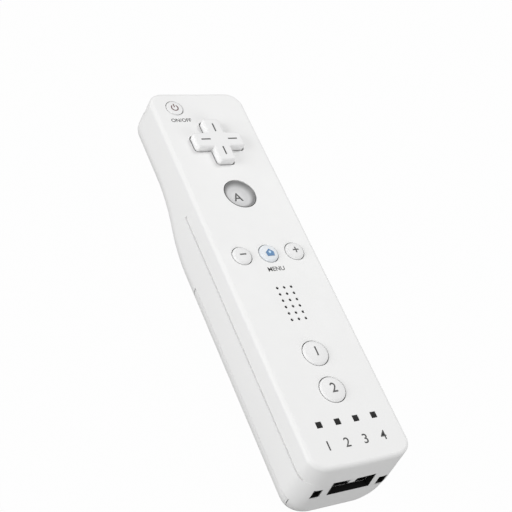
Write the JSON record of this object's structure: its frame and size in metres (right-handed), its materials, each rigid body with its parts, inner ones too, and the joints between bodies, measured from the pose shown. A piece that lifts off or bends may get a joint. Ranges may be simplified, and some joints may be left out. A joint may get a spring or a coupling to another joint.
{
  "type": "motion controller wand",
  "caption": "Slim hand-held motion controller bar with a direction pad, push buttons, a pull trigger under the head, a pointer window and an accessory socket",
  "frame": {"origin": "Under the middle of the body, on the plane that its back rests on.", "axes": "X across the width, +Y along the body to the far pointing end, +Z out of the button face."},
  "size_m": [0.0362, 0.1464, 0.0308],
  "materials": {
    "body_white": "satin",
    "button_white": "gloss",
    "button_grey": "satin",
    "button_pale_blue": "gloss",
    "button_red": "gloss",
    "black_plastic": "matte",
    "window_dark": "gloss",
    "clear_lens": "gloss",
    "grey_plastic": "matte",
    "board_green": "satin",
    "chip_black": "matte",
    "steel": "brushed",
    "contact_brass": "polished",
    "rubber_grey": "matte",
    "cell_sleeve": "gloss",
    "lamp_clear": "gloss",
    "weight_iron": "cast"
  },
  "bodies": {
    "body": {"front_shell": "body_white", "rear_shell": "body_white", "pad_post": "grey_plastic", "trigger_pin": "steel", "trigger_spring": "steel", "trigger_switch": "chip_black", "pairing_switch": "chip_black", "pointer_window": "window_dark", "pointer_camera": "black_plastic", "camera_lens": "clear_lens", "main_board": "board_green", "processor": "chip_black", "radio_module": "steel", "motion_sensor": "chip_black", "crystal_can": "steel", "lamp_windows": "black_plastic", "player_lamps": "lamp_clear", "speaker_frame": "grey_plastic", "speaker_magnet": "steel", "speaker_cone": "black_plastic", "socket_housing": "black_plastic", "socket_contacts": "contact_brass", "rumble_motor": "steel", "rumble_clip": "grey_plastic", "left_cell": "cell_sleeve", "right_cell": "cell_sleeve", "left_coil": "steel", "right_coil": "steel", "bridge_plate": "steel", "terminal_plates": "steel", "case_screws": "steel", "power_dome": "rubber_grey", "pad_domes": "rubber_grey", "main_dome": "rubber_grey", "minus_dome": "rubber_grey", "house_dome": "rubber_grey", "plus_dome": "rubber_grey", "one_dome": "rubber_grey", "two_dome": "rubber_grey"},
    "power_button": {"power_button": "button_white"},
    "main_button": {"main_button": "button_grey"},
    "minus_button": {"minus_button": "button_white"},
    "house_button": {"house_button": "button_pale_blue"},
    "plus_button": {"plus_button": "button_white"},
    "one_button": {"one_button": "button_white"},
    "two_button": {"two_button": "button_white"},
    "pairing_button": {"pairing_button": "button_red"},
    "pad_ball": {"pad_ball": "steel"},
    "direction_pad": {"direction_pad": "button_white"},
    "rear_trigger": {"rear_trigger": "body_white"},
    "battery_cover": {"battery_cover": "body_white"},
    "rumble_weight": {"rumble_weight": "weight_iron"}
  },
  "joints": [
    {"name": "power_press", "type": "slide", "parent": "body", "child": "power_button", "axis": [0, 0, -1], "range_m": [0, 0.0006], "stiffness_N_per_m": 600, "springref_m": -0.0005, "deforming": ["power_dome"]},
    {"name": "main_press", "type": "slide", "parent": "body", "child": "main_button", "axis": [0, 0, -1], "range_m": [0, 0.0008], "stiffness_N_per_m": 600, "springref_m": -0.0005, "deforming": ["main_dome"]},
    {"name": "minus_press", "type": "slide", "parent": "body", "child": "minus_button", "axis": [0, 0, -1], "range_m": [0, 0.0008], "stiffness_N_per_m": 600, "springref_m": -0.0005, "deforming": ["minus_dome"]},
    {"name": "house_press", "type": "slide", "parent": "body", "child": "house_button", "axis": [0, 0, -1], "range_m": [0, 0.0008], "stiffness_N_per_m": 600, "springref_m": -0.0005, "deforming": ["house_dome"]},
    {"name": "plus_press", "type": "slide", "parent": "body", "child": "plus_button", "axis": [0, 0, -1], "range_m": [0, 0.0008], "stiffness_N_per_m": 600, "springref_m": -0.0005, "deforming": ["plus_dome"]},
    {"name": "one_press", "type": "slide", "parent": "body", "child": "one_button", "axis": [0, 0, -1], "range_m": [0, 0.0008], "stiffness_N_per_m": 600, "springref_m": -0.0005, "deforming": ["one_dome"]},
    {"name": "two_press", "type": "slide", "parent": "body", "child": "two_button", "axis": [0, 0, -1], "range_m": [0, 0.0008], "stiffness_N_per_m": 600, "springref_m": -0.0005, "deforming": ["two_dome"]},
    {"name": "pairing_press", "type": "slide", "parent": "body", "child": "pairing_button", "axis": [0, 0, 1], "range_m": [0, 0.0005], "stiffness_N_per_m": 600, "springref_m": -0.0005},
    {"name": "pad_rock", "type": "hinge", "parent": "body", "child": "pad_ball", "pos_m": [0, 0.0499, 0.0244], "axis": [1, 0, 0], "range_deg": [-4, 4], "stiffness_Nm_per_rad": 0.05},
    {"name": "pad_roll", "type": "hinge", "parent": "pad_ball", "child": "direction_pad", "pos_m": [0, 0.0499, 0.0244], "axis": [0, 1, 0], "range_deg": [-4, 4], "stiffness_Nm_per_rad": 0.05},
    {"name": "trigger_pull", "type": "hinge", "parent": "body", "child": "rear_trigger", "pos_m": [0, 0.0557, 0.0115], "axis": [-1, 0, 0], "range_deg": [0, 6], "stiffness_Nm_per_rad": 0.2, "springref_deg": -2.86, "deforming": ["trigger_spring"]},
    {"name": "cover_swing", "type": "hinge", "parent": "body", "child": "battery_cover", "pos_m": [0, -0.0682, 0.0016], "axis": [-1, 0, 0], "range_deg": [0, 60]},
    {"name": "rumble_spin", "type": "hinge", "parent": "body", "child": "rumble_weight", "pos_m": [0, 0.0232, 0.0084], "axis": [0, 1, 0], "continuous": true}
  ]
}
